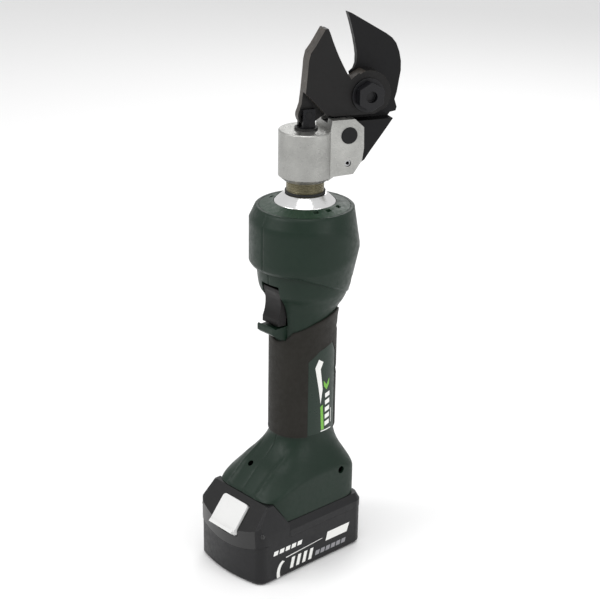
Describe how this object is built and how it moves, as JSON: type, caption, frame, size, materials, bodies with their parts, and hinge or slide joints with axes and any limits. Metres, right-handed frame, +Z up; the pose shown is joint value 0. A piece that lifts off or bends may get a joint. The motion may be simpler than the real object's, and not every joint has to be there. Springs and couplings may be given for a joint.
{
  "type": "cordless hydraulic cutter",
  "caption": "Battery-powered in-line hydraulic cutter with a swivelling scissor-blade head, trigger grip and slide-on battery.",
  "frame": {"origin": "on the tool axis, level with the underside of the battery it stands on", "axes": "+Z up the tool axis to the blades, -Y towards the trigger and the battery latch, +X to the tool's side with the label plate"},
  "size_m": [0.0832, 0.1566, 0.4245],
  "materials": {
    "housing_plastic": "moulded dark green plastic, fine grain",
    "ring_plastic": "moulded dark green plastic",
    "plate_plastic": "smooth dark green plastic",
    "grip_rubber": "soft overmould, matt",
    "lens": "dark lens",
    "screw_steel": "blacked screw",
    "polished_steel": "polished",
    "steel": "machined",
    "neck_steel": "bare turned steel",
    "black_steel": "blacked steel",
    "jaw_steel": "blacked steel, worn",
    "aluminium": "satin, machined",
    "cast_aluminium": "as cast",
    "bronze": "bearing bronze",
    "contact_brass": "contact plating",
    "copper": "copper windings on steel laminations",
    "magnet": "coated magnet",
    "bladder_rubber": "oil-resistant rubber",
    "seal_rubber": "seal",
    "black_plastic": "moulded black plastic",
    "board": "circuit board",
    "wire_cover": "insulated leads",
    "battery_plastic": "moulded dark grey plastic",
    "battery_gloss": "glossy black plastic",
    "cell_wrap": "cell sleeve",
    "holder_plastic": "moulded light plastic",
    "nickel": "nickel strip",
    "button_plastic": "light grey plastic"
  },
  "bodies": {
    "tool": {"housing_left": "housing_plastic", "housing_right": "housing_plastic", "grip_left": "grip_rubber", "grip_right": "grip_rubber", "top_ring": "ring_plastic", "housing_screws": "screw_steel", "side_plates": "plate_plastic", "work_light": "lens", "collar": "polished_steel", "cylinder": "steel", "oil_bladder": "bladder_rubber", "pump_body": "cast_aluminium", "gearbox_case": "cast_aluminium", "motor_can": "steel", "motor_end_cap": "black_plastic", "motor_magnets": "magnet", "control_board": "board", "switch_body": "black_plastic", "battery_shoe": "black_plastic", "shoe_terminals": "contact_brass", "power_leads": "wire_cover", "trigger_pin": "steel"},
    "rotor": {"armature": "copper", "motor_fan": "black_plastic"},
    "pump_drive": {"pump_shaft": "steel"},
    "trigger": {"trigger": "black_plastic"},
    "retract": {"retract_button": "black_plastic"},
    "head": {"neck_sleeve": "neck_steel", "neck_ring": "seal_rubber", "yoke": "aluminium", "fixed_blade": "black_steel", "anchor_pin": "black_steel", "lock_pin": "steel", "pivot_bolt": "black_steel", "pivot_washers": "steel", "pivot_nut": "black_steel", "rod_seal": "seal_rubber", "return_spring": "steel"},
    "jaw": {"moving_jaw": "jaw_steel", "pivot_bush": "bronze"},
    "ram": {"ram_rod": "black_steel", "piston": "steel", "piston_seal": "seal_rubber", "piston_nut": "steel", "clevis_pin": "black_steel"},
    "battery": {"battery_lower_case": "battery_plastic", "battery_upper_case": "battery_plastic", "battery_front_cover": "battery_gloss", "battery_cells": "cell_wrap", "cell_holders": "holder_plastic", "cell_straps": "nickel", "battery_board": "board", "battery_terminals": "contact_brass", "battery_screws": "screw_steel"},
    "latch": {"latch_button": "button_plastic"}
  },
  "joints": [
    {"name": "head_swivel", "type": "hinge", "parent": "tool", "child": "head", "pos_m": [0, 0, 0.29], "axis": [0, 0, 1], "range_deg": [-155, 195]},
    {"name": "jaw_hinge", "type": "hinge", "parent": "head", "child": "jaw", "pos_m": [0.01656, 0.04098, 0.3656], "axis": [-0.9272, 0.3746, 0], "range_deg": [0, 40]},
    {"name": "ram_slide", "type": "slide", "parent": "head", "child": "ram", "axis": [0, 0, 1], "range_m": [0, 0.0321], "stiffness_N_per_m": 200, "springref_m": -0.02, "deforming": ["return_spring"]},
    {"name": "trigger_hinge", "type": "hinge", "parent": "tool", "child": "trigger", "pos_m": [0, -0.0226, 0.2236], "axis": [1, 0, 0], "range_deg": [0, 8], "stiffness_Nm_per_rad": 0.6, "springref_deg": -8.59},
    {"name": "retract_push", "type": "slide", "parent": "tool", "child": "retract", "axis": [1, 0, 0], "range_m": [0, 0.003], "stiffness_N_per_m": 1000, "springref_m": -0.002},
    {"name": "battery_slide", "type": "slide", "parent": "tool", "child": "battery", "axis": [0, -1, 0], "range_m": [0, 0.085]},
    {"name": "latch_push", "type": "slide", "parent": "battery", "child": "latch", "axis": [0, -0.6293, -0.7771], "range_m": [0, 0.004], "stiffness_N_per_m": 1200, "springref_m": -0.002},
    {"name": "rotor_spin", "type": "hinge", "parent": "tool", "child": "rotor", "pos_m": [0, 0, 0.13], "axis": [0, 0, 1], "continuous": true},
    {"name": "pump_spin", "type": "hinge", "parent": "tool", "child": "pump_drive", "pos_m": [0, 0, 0.18], "axis": [0, 0, 1], "continuous": true}
  ],
  "couplings": [
    {"joint": "ram_slide", "follows": "jaw_hinge", "m_per_rad": 0.04584},
    {"joint": "pump_spin", "follows": "rotor_spin", "ratio": 0.083333}
  ]
}
